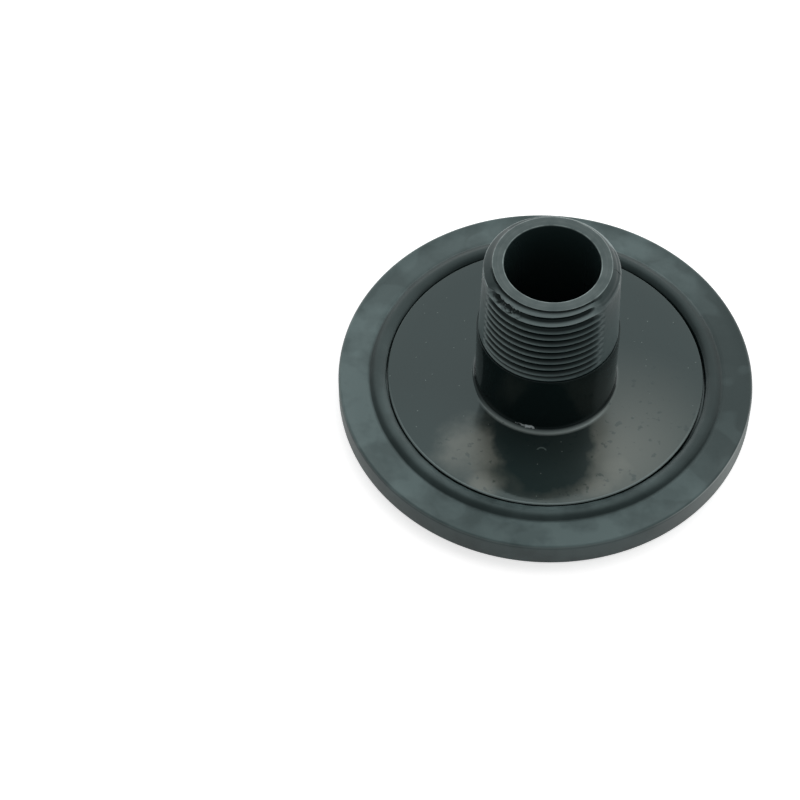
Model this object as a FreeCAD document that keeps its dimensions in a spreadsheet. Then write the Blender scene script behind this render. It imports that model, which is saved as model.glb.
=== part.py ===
import FreeCAD, Part
import Sketcher
import os

# Coarse bubble aerator: a moulded plastic base with a hollow pipe spigot,
# and a rubber membrane cap stretched over the base's flange.
# Frame: +Z up along the spigot, the rubber face down on z = 0, millimetres.

# Driving dimensions: alias, millimetres (or a count), what it measures
SIZES = [
    ("face_thickness", 1.7, "rubber face of the cap"),
    ("flange_thickness", 2.0, "base flange held inside the cap"),
    ("flange_diameter", 77.0, "base flange"),
    ("seat_clearance", 0.1, "play between the flange and the cap's groove"),
    ("cap_wall", 2.5, "rubber outside the flange"),
    ("lip_thickness", 1.6, "rubber over the flange"),
    ("plate_diameter", 62.7, "raised plate inside the cap's mouth"),
    ("mouth_gap", 0.35, "open gap round the plate"),
    ("bead_width", 3.3, "round bead along the cap's mouth"),
    ("bead_rise", 0.6, "bead's crown above the flat rim"),
    ("crease_depth", 0.15, "crease between the bead and the flat rim"),
    ("crease_width", 0.5, "slope from the crease up to the flat rim"),
    ("collar_height", 15.9, "collar above the plate"),
    ("thread_diameter", 26.03, "thread crests at the spigot's end, 3/4 inch taper pipe"),
    ("thread_length", 19.0, "threaded stretch of the spigot"),
    ("thread_taper", 16.0, "length in which the thread's diameter grows by one"),
    ("thread_pitch", 1.8143, "climb in one turn, 14 turns to the inch"),
    ("thread_depth", 1.2, "groove below the thread's crests"),
    ("crest_width", 0.36, "flat along the thread's crests"),
    ("root_width", 0.25, "flat along the groove's root"),
    ("groove_start", 0.62, "groove's beginning, under the collar's top"),
    ("cutter_play", 0.2, "groove's cutting profile outside the crests"),
    ("thread_lead", 3.95, "stretch in which the first threads rise to full height"),
    ("strip_angle", 73.0, "smooth strip down each side of the thread, degrees"),
    ("strip_turn", -8.3, "strips' turn away from the X axis, degrees"),
    ("collar_step", 0.34, "collar beyond the foot of the thread"),
    ("bore_diameter", 18.3, "air way through the spigot"),
    ("end_chamfer", 1.7, "lead-in at the spigot's end"),
    ("bore_round", 0.3, "rounded mouth of the air way"),
    ("root_fillet", 0.5, "round where the collar meets the plate"),
    ("plate_round", 0.35, "rounded edge of the plate"),
    ("flange_round", 0.3, "rounded edge of the flange"),
    ("rim_round", 0.4, "cap's upper outer edge"),
    ("face_round", 0.4, "cap's lower outer edge"),
    ("hole_diameter", 4.4, "air hole in the face"),
    ("hole_circle", 54.6, "circle through the air holes"),
    ("hole_count", 10, "air holes"),
    ("ring_diameter", 19.6, "fine ring round the middle of the face"),
    ("ring_width", 0.5, "width of the fine ring"),
    ("ring_depth", 0.25, "depth of the fine ring"),
]

doc = FreeCAD.newDocument("aerator")
sheet = doc.addObject("Spreadsheet::Sheet", "Sizes")
for row, (alias, value, meaning) in enumerate(SIZES, start=1):
    sheet.set(f"A{row}", meaning)
    sheet.set(f"B{row}", str(value))
    sheet.setAlias(f"B{row}", alias)
doc.recompute()

# Radii and levels worked out from the driving dimensions
FLANGE_R = "Sizes.flange_diameter / 2"
PLATE_R = "Sizes.plate_diameter / 2"
BORE_R = "Sizes.bore_diameter / 2"
THREAD_TIP_R = "Sizes.thread_diameter / 2"
THREAD_END_R = "(Sizes.thread_diameter + Sizes.thread_length / Sizes.thread_taper) / 2"
COLLAR_R = f"({THREAD_END_R} + Sizes.collar_step)"
END_FACE_R = "(Sizes.thread_diameter / 2 - Sizes.end_chamfer)"
WALL_MID_R = f"(({BORE_R} + {END_FACE_R}) / 2)"
POCKET_R = "(Sizes.flange_diameter / 2 + Sizes.seat_clearance)"
CAP_R = f"({POCKET_R} + Sizes.cap_wall)"
MOUTH_R = "(Sizes.plate_diameter / 2 + Sizes.mouth_gap)"
CREASE_R = f"({MOUTH_R} + Sizes.bead_width)"

SEAT = "Sizes.face_thickness"
FLANGE_TOP = f"({SEAT} + Sizes.flange_thickness)"
LIP_UNDERSIDE = f"({FLANGE_TOP} + Sizes.seat_clearance)"
RIM = f"({LIP_UNDERSIDE} + Sizes.lip_thickness)"
COLLAR_TOP = f"({RIM} + Sizes.collar_height)"
SPIGOT_TOP = f"({COLLAR_TOP} + Sizes.thread_length)"

CREASE = f"({RIM} - Sizes.crease_depth)"
GROOVE_LEVEL = f"({COLLAR_TOP} - Sizes.groove_start)"

# The thread's cone at the level where its groove begins, and the groove's two radii there
GROOVE_CREST_R = f"({THREAD_END_R} + Sizes.groove_start / (2 * Sizes.thread_taper))"
GROOVE_ROOT_R = f"({GROOVE_CREST_R} - Sizes.thread_depth)"
GROOVE_OPEN_R = f"({GROOVE_CREST_R} + Sizes.cutter_play)"

# The bead's arc stands on a chord as wide as the bead, at the level of the crease
BEAD_HEIGHT = "(Sizes.bead_rise + Sizes.crease_depth)"
BEAD_ARC_R = f"((Sizes.bead_width / 2) ^ 2 + {BEAD_HEIGHT} ^ 2) / (2 * {BEAD_HEIGHT})"


def size(expression):
    """Value of an expression in the sheet's aliases, in millimetres."""
    return float(sheet.evalExpression(expression))


def origin_plane(body, role):
    """The body's own origin plane or axis with this role."""
    return next(item for item in body.Origin.OriginFeatures if item.Role == role)


def new_sketch(body, name, role):
    """Empty sketch on one of the body's origin planes."""
    sketch = body.newObject("Sketcher::SketchObject", name)
    sketch.AttachmentSupport = [(origin_plane(body, role), "")]
    sketch.MapMode = "FlatFace"
    return sketch


def bind(sketch, kind, geometry, expression):
    """Dimension whose value follows the expression."""
    index = sketch.addConstraint(Sketcher.Constraint(kind, *geometry, size(expression)))
    sketch.setExpression(f"Constraints[{index}]", expression)


def place(sketch, line, radius, level):
    """Hold a line's start point at a radius and a level, either of which may be zero."""
    if radius == "0":
        sketch.addConstraint(Sketcher.Constraint("PointOnObject", line, 1, -2))
    else:
        bind(sketch, "DistanceX", (-1, 1, line, 1), radius)
    if level == "0":
        sketch.addConstraint(Sketcher.Constraint("PointOnObject", line, 1, -1))
    else:
        bind(sketch, "DistanceY", (-1, 1, line, 1), level)


def draw_profile(sketch, outline, bulges=None):
    """Closed outline through (radius, level) points; bulges gives a side its arc's (radius, rise)."""
    bulges = bulges or {}
    points = [FreeCAD.Vector(size(r), size(z), 0) for r, z in outline]
    count = len(points)
    for side, start in enumerate(points):
        end = points[(side + 1) % count]
        if side in bulges:
            half = (end - start) / 2
            rise = FreeCAD.Vector(0, size(bulges[side][1]), 0)
            edge = Part.Arc(start, start + half + rise, end)
        else:
            edge = Part.LineSegment(start, end)
        sketch.addGeometry(edge, False)
    for side, (radius, level) in enumerate(outline):
        before = (side - 1) % count
        sketch.addConstraint(Sketcher.Constraint("Coincident", before, 2, side, 1))
        place(sketch, side, radius, level)
    for side, (radius, _) in bulges.items():
        bind(sketch, "Radius", (side,), radius)
    return sketch


def revolve(body, kind, name, sketch):
    """Full turn of the sketch about the spigot's axis: Revolution adds, Groove cuts."""
    feature = body.newObject(f"PartDesign::{kind}", name)
    feature.Profile = sketch
    feature.ReferenceAxis = (sketch, ["V_Axis"])
    feature.Angle = 360.0
    doc.recompute()
    return feature


def circles(shape, radius, level):
    """Names of the circular edges of this radius at this level."""
    names = []
    for number, edge in enumerate(shape.Edges, start=1):
        curve = edge.Curve
        if not isinstance(curve, Part.Circle):
            continue
        if abs(curve.Radius - size(radius)) < 1e-4 and abs(curve.Center.z - size(level)) < 1e-4:
            names.append(f"Edge{number}")
    return names


def dress(body, kind, name, places, expression):
    """Fillet or chamfer on the circular edges at the given (radius, level) places."""
    base = body.Tip
    edges = [edge for radius, level in places for edge in circles(base.Shape, radius, level)]
    if len(edges) != len(places):
        raise RuntimeError(f"{name}: an edge is missing")
    feature = body.newObject(f"PartDesign::{kind}", name)
    feature.Base = (base, edges)
    prop = "Radius" if kind == "Fillet" else "Size"
    setattr(feature, prop, size(expression))
    feature.setExpression(prop, expression)
    doc.recompute()
    return feature


def pipe_wall(inside, lead):
    """Half section of the spigot's wall from a radius inside it; its end tapers in over the lead."""
    return [
        (inside, RIM),
        (THREAD_END_R, RIM),
        (THREAD_END_R, COLLAR_TOP),
        (f"{THREAD_TIP_R} + {lead} / (2 * Sizes.thread_taper)", f"{SPIGOT_TOP} - {lead}"),
        (END_FACE_R, SPIGOT_TOP),
        (inside, SPIGOT_TOP),
    ]


# Base: first the spigot's tapered wall, whose lower end stays inside the collar
base = doc.addObject("PartDesign::Body", "Base")
base.Label = "base"
wall_sketch = new_sketch(base, "WallProfile", "XZ_Plane")
draw_profile(wall_sketch, pipe_wall(BORE_R, "Sizes.thread_lead"))
revolve(base, "Revolution", "SpigotWall", wall_sketch)
dress(base, "Fillet", "BoreMouth", [(BORE_R, SPIGOT_TOP)], "Sizes.bore_round")

# Thread: a groove cut along a tapered helix that runs out through the end face
helix = doc.addObject("Part::Helix", "Helix")
helix.SegmentLength = 1.0
helix.setExpression("Pitch", "Sizes.thread_pitch")
helix.setExpression("Height", "Sizes.groove_start + Sizes.thread_length + Sizes.thread_pitch")
helix.setExpression("Radius", GROOVE_CREST_R)
helix.setExpression("Angle", "-atan(1 / (2 * Sizes.thread_taper))")
helix.setExpression("Placement.Base.z", GROOVE_LEVEL)
groove_sketch = new_sketch(base, "GrooveProfile", "XZ_Plane")
HALF_ROOT = "Sizes.root_width / 2"
HALF_OPEN = "(Sizes.thread_pitch - Sizes.crest_width / 2) / 2"
draw_profile(groove_sketch, [
    (GROOVE_ROOT_R, f"{GROOVE_LEVEL} - {HALF_ROOT}"),
    (GROOVE_OPEN_R, f"{GROOVE_LEVEL} - {HALF_OPEN}"),
    (GROOVE_OPEN_R, f"{GROOVE_LEVEL} + {HALF_OPEN}"),
    (GROOVE_ROOT_R, f"{GROOVE_LEVEL} + {HALF_ROOT}"),
])
doc.recompute()
before_thread = base.Tip.Shape.Volume
thread = base.newObject("PartDesign::SubtractivePipe", "Thread")
thread.Profile = groove_sketch
thread.Spine = (helix, [f"Edge{number}" for number, _ in enumerate(helix.Shape.Edges, start=1)])
thread.Mode = "Frenet"
base.Tip = thread
doc.recompute()
if base.Tip.Shape.Volume >= before_thread:
    raise RuntimeError("the thread cut nothing")

# Two smooth strips, where the mould parts, interrupt the thread
strip_sketch = new_sketch(base, "StripProfile", "XZ_Plane")
strip_turn = FreeCAD.Rotation(FreeCAD.Vector(0, 1, 0), size("Sizes.strip_turn"))
strip_sketch.AttachmentOffset = FreeCAD.Placement(FreeCAD.Vector(), strip_turn)
strip_sketch.setExpression("AttachmentOffset.Rotation.Angle", "Sizes.strip_turn")
draw_profile(strip_sketch, pipe_wall(WALL_MID_R, "Sizes.end_chamfer"))
before_strips = base.Tip.Shape.Volume
strip = revolve(base, "Revolution", "Strip", strip_sketch)
strip.Midplane = True
strip.setExpression("Angle", "Sizes.strip_angle")
strips = base.newObject("PartDesign::PolarPattern", "Strips")
strips.Originals = [strip]
strips.Axis = (strip_sketch, ["V_Axis"])
strips.Angle = 360.0
strips.Occurrences = 2
base.Tip = strips
doc.recompute()
if base.Tip.Shape.Volume <= before_strips:
    raise RuntimeError("the strips filled nothing")

# Flange, plate and collar turned as one outline round the spigot's foot
base_sketch = new_sketch(base, "BaseProfile", "XZ_Plane")
draw_profile(base_sketch, [
    (BORE_R, SEAT),
    (FLANGE_R, SEAT),
    (FLANGE_R, FLANGE_TOP),
    (PLATE_R, FLANGE_TOP),
    (PLATE_R, RIM),
    (COLLAR_R, RIM),
    (COLLAR_R, COLLAR_TOP),
    (BORE_R, COLLAR_TOP),
])
revolve(base, "Revolution", "BaseSolid", base_sketch)
dress(base, "Fillet", "CollarRoot", [(COLLAR_R, RIM)], "Sizes.root_fillet")
dress(base, "Fillet", "PlateEdge", [(PLATE_R, RIM)], "Sizes.plate_round")
flange_edges = [(FLANGE_R, SEAT), (FLANGE_R, FLANGE_TOP)]
dress(base, "Fillet", "FlangeEdges", flange_edges, "Sizes.flange_round")
base.Placement = FreeCAD.Placement()

# Cap: flat face, side wall and a lip that wraps over the flange and ends in a round bead
cap = doc.addObject("PartDesign::Body", "Cap")
cap.Label = "cap"
cap_sketch = new_sketch(cap, "CapProfile", "XZ_Plane")
cap_outline = [
    ("0", "0"),
    (CAP_R, "0"),
    (CAP_R, RIM),
    (f"({CREASE_R} + Sizes.crease_width)", RIM),
    (CREASE_R, CREASE),
    (MOUTH_R, CREASE),
    (MOUTH_R, LIP_UNDERSIDE),
    (POCKET_R, LIP_UNDERSIDE),
    (POCKET_R, SEAT),
    ("0", SEAT),
]
BEAD_SIDE = 4
draw_profile(cap_sketch, cap_outline, {BEAD_SIDE: (BEAD_ARC_R, BEAD_HEIGHT)})
revolve(cap, "Revolution", "CapSolid", cap_sketch)
dress(cap, "Fillet", "RimEdge", [(CAP_R, RIM)], "Sizes.rim_round")
dress(cap, "Fillet", "FaceEdge", [(CAP_R, "0")], "Sizes.face_round")

# Fine ring sunk in the face, over the end of the air way
ring_sketch = new_sketch(cap, "RingProfile", "XZ_Plane")
RING_IN = "(Sizes.ring_diameter - Sizes.ring_width) / 2"
RING_OUT = "(Sizes.ring_diameter + Sizes.ring_width) / 2"
draw_profile(ring_sketch, [
    (RING_IN, "0"),
    (RING_OUT, "0"),
    (RING_OUT, "Sizes.ring_depth"),
    (RING_IN, "Sizes.ring_depth"),
])
before_ring = cap.Tip.Shape.Volume
revolve(cap, "Groove", "FaceRing", ring_sketch)
if cap.Tip.Shape.Volume >= before_ring:
    raise RuntimeError("the ring cut nothing")

# Air holes: one through the face, repeated round the axis
hole_sketch = new_sketch(cap, "HoleSketch", "XY_Plane")
hole_centre = FreeCAD.Vector(size("Sizes.hole_circle / 2"), 0, 0)
hole_axis = FreeCAD.Vector(0, 0, 1)
hole_sketch.addGeometry(Part.Circle(hole_centre, hole_axis, size("Sizes.hole_diameter / 2")), False)
hole_sketch.addConstraint(Sketcher.Constraint("PointOnObject", 0, 3, -1))
bind(hole_sketch, "DistanceX", (-1, 1, 0, 3), "Sizes.hole_circle / 2")
bind(hole_sketch, "Diameter", (0,), "Sizes.hole_diameter")
before_hole = cap.Tip.Shape.Volume
hole = cap.newObject("PartDesign::Pocket", "AirHole")
hole.Profile = hole_sketch
hole.Reversed = True
hole.Length = size(SEAT)
hole.setExpression("Length", SEAT)
doc.recompute()
if cap.Tip.Shape.Volume >= before_hole:
    raise RuntimeError("the air hole cut nothing")
holes = cap.newObject("PartDesign::PolarPattern", "AirHoles")
holes.Originals = [hole]
holes.Axis = (hole_sketch, ["N_Axis"])
holes.Angle = 360.0
holes.Occurrences = int(size("Sizes.hole_count"))
holes.setExpression("Occurrences", "Sizes.hole_count")
cap.Tip = holes
cap.Placement = FreeCAD.Placement()
doc.recompute()

# Every object must be sound before anything is written
for item in doc.Objects:
    if "Invalid" in item.State or "Error" in item.State:
        raise RuntimeError(f"{item.Name} failed: {item.State}")

os.makedirs("parts", exist_ok=True)
for piece in (base, cap):
    shape = piece.Shape
    if shape.isNull() or not shape.isValid() or len(shape.Solids) != 1:
        raise RuntimeError(f"{piece.Label} is not one sound solid")
    shape.exportStep(f"parts/{piece.Label}.step")
    box = shape.optimalBoundingBox()
    print(piece.Label, "volume", round(shape.Volume, 1), "mm3")
    print("  level", round(abs(box.ZMin), 3), "to", round(box.ZMax, 3))
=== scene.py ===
# %% [markdown]
# # A coarse bubble aerator on a white table
#
# The object is a disc for blowing large air bubbles into a tank. It has two pieces. The base is one
# injection-moulded plastic piece: a round plate, a polished collar and a hollow spigot with a tapered
# pipe thread. The cap is a rubber membrane stretched over the base, with ten air holes in its face.
# It lies face down, so the plate and the spigot show.

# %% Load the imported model
import math
from types import SimpleNamespace

import bmesh
import bpy
import numpy as np
from mathutils import Matrix, Vector


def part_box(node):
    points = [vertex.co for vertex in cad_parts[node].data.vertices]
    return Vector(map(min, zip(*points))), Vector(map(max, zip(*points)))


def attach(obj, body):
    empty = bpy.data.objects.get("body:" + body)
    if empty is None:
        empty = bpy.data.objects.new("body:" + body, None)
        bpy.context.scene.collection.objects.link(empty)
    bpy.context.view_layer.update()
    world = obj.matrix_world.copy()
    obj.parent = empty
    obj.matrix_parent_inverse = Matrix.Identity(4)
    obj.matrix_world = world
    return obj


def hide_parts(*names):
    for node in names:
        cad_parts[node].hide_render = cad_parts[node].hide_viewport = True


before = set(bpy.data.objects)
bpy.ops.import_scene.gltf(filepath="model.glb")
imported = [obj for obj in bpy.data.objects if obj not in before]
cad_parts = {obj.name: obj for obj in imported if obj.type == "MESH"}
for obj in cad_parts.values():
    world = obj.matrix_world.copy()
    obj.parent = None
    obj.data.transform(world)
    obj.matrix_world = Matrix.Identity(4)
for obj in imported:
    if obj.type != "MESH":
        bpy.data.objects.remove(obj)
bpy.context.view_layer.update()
MM = 0.001

# %% [markdown]
# ## Sizes
#
# Every size is a real one in millimetres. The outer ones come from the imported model's own boxes, so
# that nothing made here can grow out of it. The others are the sizes that the plastic and rubber
# pieces were modelled to.

# %% Sizes of the base
base_low, base_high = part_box("base")
FLANGE_R = base_high[0] / MM
SEAT = base_low[2] / MM
SPIGOT_TOP = base_high[2] / MM
FLANGE_TOP = SEAT + 2.0
CLEARANCE = 0.1
LIP_UNDERSIDE = FLANGE_TOP + CLEARANCE
RIM = LIP_UNDERSIDE + 1.6
PLATE_R = 31.35
COLLAR_R = 13.95
COLLAR_TOP = RIM + 15.9
THREAD_R = 13.015
THREAD_GROWTH = 1 / 32
BORE_R = 9.15
END_FACE_R = THREAD_R - 1.7
print("flange radius", round(FLANGE_R, 3), "rim", round(RIM, 3), "spigot top", round(SPIGOT_TOP, 3))

# %% Sizes of the cap
cap_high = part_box("cap")[1]
CAP_R = cap_high[0] / MM
BEAD_TOP = cap_high[2] / MM
POCKET_R = FLANGE_R + CLEARANCE
MOUTH_R = PLATE_R + 0.35
CREASE_R = MOUTH_R + 3.3
CREASE = RIM - 0.15
HOLES = 10
HOLE_R = 2.2
HOLE_CIRCLE_R = 27.3
FACE_RING_R = 9.8
print("cap radius", round(CAP_R, 3), "mouth radius", round(MOUTH_R, 3), "bead top", round(BEAD_TOP, 3))

# %% [markdown]
# ## Helpers for surfaces
#
# A turned piece is a profile carried round the axis. The profile is a short list of corners, each
# with a radius, which one helper turns into a smooth row of points. A grid helper makes the faces.

# %% Rounded profile
def rounded(corners, steps=6):
    """Row of (radius, level) points. Each corner is (r, z, round): its arc touches both sides, so it
    starts and ends round / tan(half the inner angle) from the corner, and the points between lie on
    centre + round * (cos, sin) of angles spread evenly from one end to the other."""
    pts = np.array([c[:2] for c in corners], float)
    rows = []
    for i, (_, _, radius) in enumerate(corners):
        here, before, after = pts[i], pts[i - 1], pts[(i + 1) % len(pts)]
        if radius <= 0:
            rows.append(here[None])
            continue
        a = (before - here) / np.linalg.norm(before - here)
        b = (after - here) / np.linalg.norm(after - here)
        half = math.acos(np.clip(a @ b, -1, 1)) / 2
        middle = (a + b) / np.linalg.norm(a + b)
        centre = here + middle * radius / math.sin(half)
        start = here + a * radius / math.tan(half)
        end = here + b * radius / math.tan(half)
        t = np.linspace(0, 1, steps)[:, None]
        spread = start * (1 - t) + end * t - centre
        rows.append(centre + spread / np.linalg.norm(spread, axis=1)[:, None] * radius)
    return np.concatenate(rows)


def densify(row, step):
    """The same row with points added on its long straight sides, no further apart than step."""
    out = []
    for a, b in zip(row[:-1], row[1:]):
        n = max(1, int(np.ceil(np.linalg.norm(b - a) / step)))
        t = np.arange(n)[:, None] / n
        out.append(a + (b - a) * t)
    return np.concatenate(out + [row[-1:]])


def turned(row, a):
    """Grid of a profile row carried round the axis: x = r cos a, y = r sin a, z = z."""
    r, z = row[:, 0][:, None], row[:, 1][:, None]
    return np.stack([r * np.cos(a), r * np.sin(a), z + 0 * a], -1)


# %% Smooth steps and ripples
def smoothstep(x):
    """0 below 0, 1 above 1, and 3 x^2 - 2 x^3 between."""
    x = np.clip(x, 0, 1)
    return x * x * (3 - 2 * x)


def window(x, start, rise, end, fall):
    """Climbs smoothly from 0 to 1 from start over rise, and drops back to 0 from end over fall."""
    return smoothstep((x - start) / rise) * (1 - smoothstep((x - end) / fall))


def ripple(a, orders, seed):
    """Small sine waves round the axis with fixed random phases, added up and kept within -1 and 1."""
    phases = np.random.default_rng(seed).uniform(0, 2 * math.pi, len(orders))
    return np.mean([np.sin(n * a + p) for n, p in zip(orders, phases)], axis=0)


# %% Grids and meshes
MERGE = 0.001


def ring_faces(rows, cols, shift=0):
    """Quads between neighbouring rows of a grid whose columns run round the axis. Column j joins
    column j + 1, and the last joins the first, moved by shift rows where rows climb like a thread."""
    i, j = np.meshgrid(np.arange(rows - 1), np.arange(cols), indexing="ij")
    j2 = (j + 1) % cols
    i2 = i + np.where(j2 == 0, shift, 0)
    quads = np.stack([i * cols + j, i2 * cols + j2, (i2 + 1) * cols + j2, (i + 1) * cols + j], -1)
    return quads[(i2 >= 0) & (i2 + 1 < rows)]


def make_piece(name, grids, material, smooth_angle):
    """Mesh object from (grid, faces) pairs in millimetres. Points nearer than MERGE are joined, faces
    point outwards, and edges that turn by more than smooth_angle degrees stay sharp."""
    points, faces, start = [], [], 0
    for grid, quads in grids:
        points.append(grid.reshape(-1, 3))
        faces.append(quads.reshape(-1, 4) + start)
        start += len(points[-1])
    mesh = bpy.data.meshes.new(name)
    mesh.from_pydata((np.concatenate(points) * MM).tolist(), [], np.concatenate(faces).tolist())
    bm = bmesh.new()
    bm.from_mesh(mesh)
    bmesh.ops.remove_doubles(bm, verts=bm.verts, dist=MERGE * MM)
    bmesh.ops.dissolve_degenerate(bm, edges=bm.edges, dist=0.1 * MERGE * MM)
    bmesh.ops.recalc_face_normals(bm, faces=bm.faces)
    open_edges = sum(1 for e in bm.edges if len(e.link_faces) != 2)
    bm.to_mesh(mesh)
    bm.free()
    mesh.polygons.foreach_set("use_smooth", np.ones(len(mesh.polygons), bool))
    mesh.set_sharp_from_angle(angle=math.radians(smooth_angle))
    piece = bpy.data.objects.new(name, mesh)
    bpy.context.scene.collection.objects.link(piece)
    mesh.materials.append(material)
    mesh.calc_loop_triangles()
    triangles = len(mesh.loop_triangles)
    print(name, len(mesh.vertices), "points,", triangles, "triangles, open edges", open_edges)
    return piece


# %% [markdown]
# ## Helpers for materials
#
# A material is a tree of shader nodes. One function adds a node, with its settings and its links.
# Another gives the places that the patterns read, in millimetres, so a pattern's Scale is 1 over its
# size in millimetres. A range whose From Min is above its From Max falls from 1 to 0.

# %% Colours and nodes
def linear(code):
    """Linear colour of an sRGB hex code: each channel c is c / 12.92, or ((c + 0.055) / 1.055) ^ 2.4."""
    c = np.array([int(code[i:i + 2], 16) for i in (1, 3, 5)]) / 255
    flat = np.where(c <= 0.04045, c / 12.92, ((c + 0.055) / 1.055) ** 2.4)
    return (*flat.tolist(), 1.0)


def add(tree, kind, inputs=None, **properties):
    """Adds the shader node of that kind. Each input, by its name or number, is a plain value, or a
    socket or another node, which gets linked: of a node, the first output that its settings leave."""
    node = tree.nodes.new("ShaderNode" + kind)
    for key, value in properties.items():
        setattr(node, key, value)
    for key, value in (inputs or {}).items():
        if isinstance(key, int):
            socket = node.inputs[key]
        else:
            socket = next(s for s in node.inputs if s.enabled and s.name == key)
        if isinstance(value, bpy.types.Node):
            value = next(s for s in value.outputs if s.enabled)
        if isinstance(value, bpy.types.NodeSocket):
            tree.links.new(value, socket)
        else:
            socket.default_value = value
    return node


# Gloss of both black pieces, a little cooler than the light
COOL_GLOSS = (0.8, 1.0, 1.0, 1.0)


def new_material(name):
    """Empty node material and its node tree."""
    material = bpy.data.materials.new(name)
    material.use_nodes = True
    material.node_tree.nodes.clear()
    return material, material.node_tree


def positions(tree):
    """Object coordinates in millimetres: the place and its x, y and z, its plan (x, y, 0), and its
    radius sqrt(x^2 + y^2) from the axis."""
    coords = add(tree, "TexCoord").outputs["Object"]
    place = add(tree, "VectorMath", {0: coords, "Scale": 1 / MM}, operation="SCALE")
    x, y, z = add(tree, "SeparateXYZ", {0: place}).outputs
    plan = add(tree, "CombineXYZ", {"X": x, "Y": y})
    radius = add(tree, "VectorMath", {0: plan}, operation="LENGTH")
    return SimpleNamespace(place=place, x=x, y=y, z=z, plan=plan, radius=radius)


# %% [markdown]
# ## Plastic
#
# The base is ABS, injection moulded in one shot with black pigment. The mould is polished at the
# collar and the plate, so they mirror what stands round them. The thread's inserts are spark eroded,
# so their skin is satin and greyer, while the grooves stay black. All of that is one material, because
# the real thing is one piece. Masks that follow its form say where each skin is.

# %% Skins of the spigot
PARTING = math.radians(-8.3)
LEAD_SLOPE = 0.46
STRIP_LEAD = 1.7
STEP_LEVEL, STEP_HALF = 0.42, 0.2
BEVEL_LEVEL, BEVEL_HALF = 0.9, 0.8


def spigot_zones(tree, at):
    """Masks of the spigot: down, the depth below its end; satin, 1 where the skin is not glossy; end,
    the end face; threads, 0 on the two smooth strips; bevel, the cut lead-in."""
    down = add(tree, "Math", {0: SPIGOT_TOP, 1: at.z}, operation="SUBTRACT")
    # Crests, within a hair of their cone, which turns in to the lead-in
    cone = add(tree, "Math", {0: down, 1: THREAD_GROWTH, 2: THREAD_R}, operation="MULTIPLY_ADD")
    lead = add(tree, "Math", {0: down, 1: LEAD_SLOPE, 2: END_FACE_R}, operation="MULTIPLY_ADD")
    crest = add(tree, "Math", {0: cone, 1: lead}, operation="MINIMUM")
    below = add(tree, "Math", {0: crest, 1: at.radius}, operation="SUBTRACT")
    satin = add(tree, "MapRange", {"Value": below, "From Min": 0.38, "From Max": 0.05})
    end = add(tree, "MapRange", {"Value": down, "From Min": 0.2, "From Max": 0.04})
    # Strips: near the parting plane, by the sine of the angle from it
    normal = (-math.sin(PARTING), math.cos(PARTING), 0)
    aside = add(tree, "VectorMath", {0: at.plan, 1: normal}, operation="DOT_PRODUCT")
    sine = add(tree, "Math", {0: aside, 1: at.radius}, operation="DIVIDE")
    sine = add(tree, "Math", {0: sine}, operation="ABSOLUTE")
    threads = add(tree, "MapRange", {"Value": sine, "From Min": 0.5, "From Max": 0.66})
    strips = add(tree, "Math", {0: 1.0, 1: threads}, operation="SUBTRACT")
    outside = add(tree, "Math", {0: at.radius, 1: END_FACE_R}, operation="GREATER_THAN")
    strips = add(tree, "Math", {0: strips, 1: outside}, operation="MULTIPLY")
    for zone in (end, strips):
        satin = add(tree, "Math", {0: satin, 1: zone}, operation="MAXIMUM")
    upper = add(tree, "Math", {0: at.z, 1: COLLAR_TOP}, operation="GREATER_THAN")
    satin = add(tree, "Math", {0: satin, 1: upper}, operation="MULTIPLY")
    # The fine step under the end face loses its satin grey, so it is painted dark as shade in the step,
    # from the left strip round to the right one
    step = add(tree, "Math", {0: down, 1: STEP_LEVEL, 2: STEP_HALF}, operation="COMPARE")
    ahead = add(tree, "MapRange", {"Value": at.y, "From Min": -1.0, "From Max": -4.0, "To Max": 0.75})
    leftward = add(tree, "MapRange", {"Value": at.x, "From Min": 10.0, "From Max": 8.0})
    walls = add(tree, "Math", {0: at.radius, 1: BORE_R + 0.5}, operation="GREATER_THAN")
    for limit in (ahead, leftward, walls):
        step = add(tree, "Math", {0: step, 1: limit}, operation="MULTIPLY")
    satin = add(tree, "Math", {0: satin, 1: step}, operation="SUBTRACT", use_clamp=True)
    # The lead-in is cut, not moulded, so behind the front threads it is darker and duller
    bevel = add(tree, "Math", {0: down, 1: BEVEL_LEVEL, 2: BEVEL_HALF}, operation="COMPARE")
    behind = add(tree, "MapRange", {"Value": at.y, "From Min": -9.0, "From Max": -5.0})
    bevel = add(tree, "Math", {0: bevel, 1: behind}, operation="MULTIPLY")
    return SimpleNamespace(down=down, satin=satin, end=end, threads=threads, bevel=bevel)


# %% [markdown]
# Fine pale lines on the edges are painted highlights, where the edges catch the light. They are drawn
# as narrow bands of radius or depth, broken up by noise. The two halves of the mould leave a parting
# line up each strip, and its highlight is painted the same way.

# %% Painted edge highlights
WITNESS_Y = -2.2


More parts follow.
